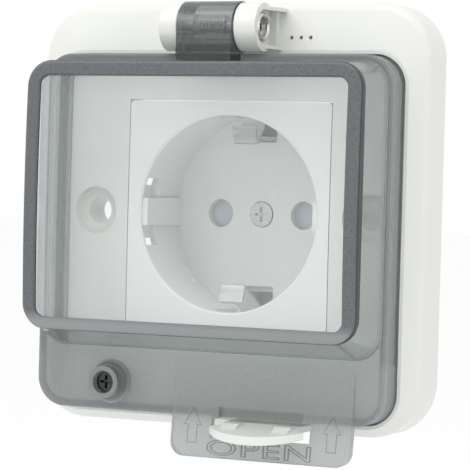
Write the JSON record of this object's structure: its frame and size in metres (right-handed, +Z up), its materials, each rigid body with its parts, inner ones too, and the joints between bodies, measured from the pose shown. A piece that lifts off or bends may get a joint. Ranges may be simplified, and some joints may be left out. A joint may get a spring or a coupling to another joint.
{
  "type": "weatherproof wall socket",
  "caption": "Square weatherproof wall socket: white back plate with a round earthed well under a sprung smoke lid with a dark-framed window and a press-down latch tongue.",
  "frame": {"origin": "centre between the two wall screws, in the plane of the wall", "axes": "-Y out of the wall towards the room, +Z up, +X to the right seen from the room"},
  "size_m": [0.086, 0.0612, 0.0915],
  "materials": {
    "white_plastic": "satin white thermoplastic",
    "socket_plastic": "glossy white thermoplastic",
    "smoke_plastic": "translucent smoke grey, glossy",
    "frame_plastic": "textured dark grey",
    "clear_plastic": "clear polycarbonate",
    "block_plastic": "moulded light grey",
    "shutter_plastic": "blue-grey",
    "seal_rubber": "soft light grey silicone, matte",
    "gasket_foam": "closed-cell foam",
    "spring_steel": "drawn wire",
    "plated_strip": "nickel-plated strip",
    "screw_steel": "zinc-plated",
    "contact_brass": "bare brass"
  },
  "bodies": {
    "plate": {"base_frame": "white_plastic", "rear_gasket": "gasket_foam", "lid_seal": "seal_rubber", "hinge_pin": "screw_steel", "hinge_spring": "spring_steel", "latch_pin": "spring_steel", "latch_spring": "spring_steel", "socket_cover": "socket_plastic", "contact_block": "block_plastic", "contact_left": "contact_brass", "contact_right": "contact_brass", "earth_strap": "plated_strip", "terminal_screws": "screw_steel", "clamp_plates": "plated_strip", "centre_screw": "screw_steel", "shutter_spring": "spring_steel"},
    "lid": {"lid_shell": "smoke_plastic", "window_frame": "frame_plastic", "window_pane": "clear_plastic", "lock_screw": "screw_steel"},
    "latch_lever": {"latch": "white_plastic"},
    "shutter_disc": {"shutter": "shutter_plastic"}
  },
  "joints": [
    {"name": "lid_hinge", "type": "hinge", "parent": "plate", "child": "lid", "pos_m": [0, -0.0176, 0.0374], "axis": [-1, 0, 0], "range_deg": [0, 150], "stiffness_Nm_per_rad": 0.004, "springref_deg": -34.38},
    {"name": "latch_turn", "type": "hinge", "parent": "plate", "child": "latch_lever", "pos_m": [0.0131, -0.0047, -0.0383], "axis": [1, 0, 0], "range_deg": [0, 3], "stiffness_Nm_per_rad": 0.05, "springref_deg": -1.72},
    {"name": "shutter_turn", "type": "hinge", "parent": "plate", "child": "shutter_disc", "pos_m": [0, 0.012, 0], "axis": [0, 1, 0], "range_deg": [0, 38], "stiffness_Nm_per_rad": 0.0005, "springref_deg": -11.46}
  ]
}
